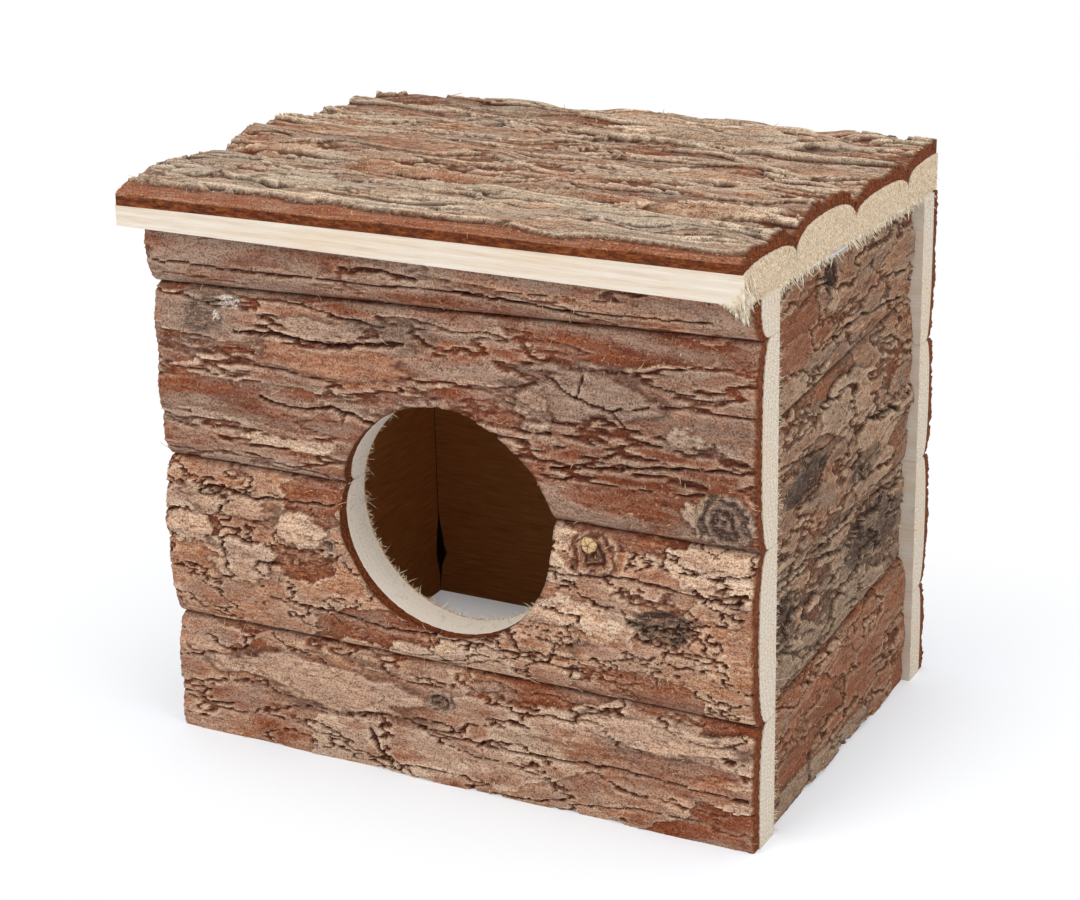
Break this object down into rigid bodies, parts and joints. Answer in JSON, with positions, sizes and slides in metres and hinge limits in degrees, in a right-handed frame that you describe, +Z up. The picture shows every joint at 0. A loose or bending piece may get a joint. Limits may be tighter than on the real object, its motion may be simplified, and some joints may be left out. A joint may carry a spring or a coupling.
{
  "type": "hamster house",
  "caption": "Small animal house of half-round timber slats with their bark left on, a round entrance in the front wall, a flat overhanging roof and an open floor.",
  "frame": {"origin": "on the ground under the middle of the whole house, roof overhangs included", "axes": "+X to the right along the front wall, +Y from the front wall to the back wall, +Z up"},
  "size_m": [0.1545, 0.113, 0.1378],
  "materials": {
    "sawn_wood": "sawn and planed softwood, untreated",
    "bark": "natural conifer bark, rough",
    "steel": "bright drawn wire",
    "hot_glue": "clear glossy hot-melt glue"
  },
  "bodies": {
    "root": {"front_slat_1": "sawn_wood", "front_slat_2": "sawn_wood", "front_slat_3": "sawn_wood", "front_slat_4": "sawn_wood", "back_slat_1": "sawn_wood", "back_slat_2": "sawn_wood", "back_slat_3": "sawn_wood", "back_slat_4": "sawn_wood", "left_slat_1": "sawn_wood", "left_slat_2": "sawn_wood", "left_slat_3": "sawn_wood", "left_slat_4": "sawn_wood", "right_slat_1": "sawn_wood", "right_slat_2": "sawn_wood", "right_slat_3": "sawn_wood", "right_slat_4": "sawn_wood", "roof_slat_1": "sawn_wood", "roof_slat_2": "sawn_wood", "roof_slat_3": "sawn_wood", "roof_slat_4": "sawn_wood", "front_bark_1": "bark", "front_bark_2": "bark", "front_bark_3": "bark", "front_bark_4": "bark", "back_bark_1": "bark", "back_bark_2": "bark", "back_bark_3": "bark", "back_bark_4": "bark", "left_bark_1": "bark", "left_bark_2": "bark", "left_bark_3": "bark", "left_bark_4": "bark", "right_bark_1": "bark", "right_bark_2": "bark", "right_bark_3": "bark", "right_bark_4": "bark", "roof_bark_1": "bark", "roof_bark_2": "bark", "roof_bark_3": "bark", "roof_bark_4": "bark", "front_brads": "steel", "back_brads": "steel", "roof_brads": "steel", "glue_beads": "hot_glue"}
  },
  "joints": []
}
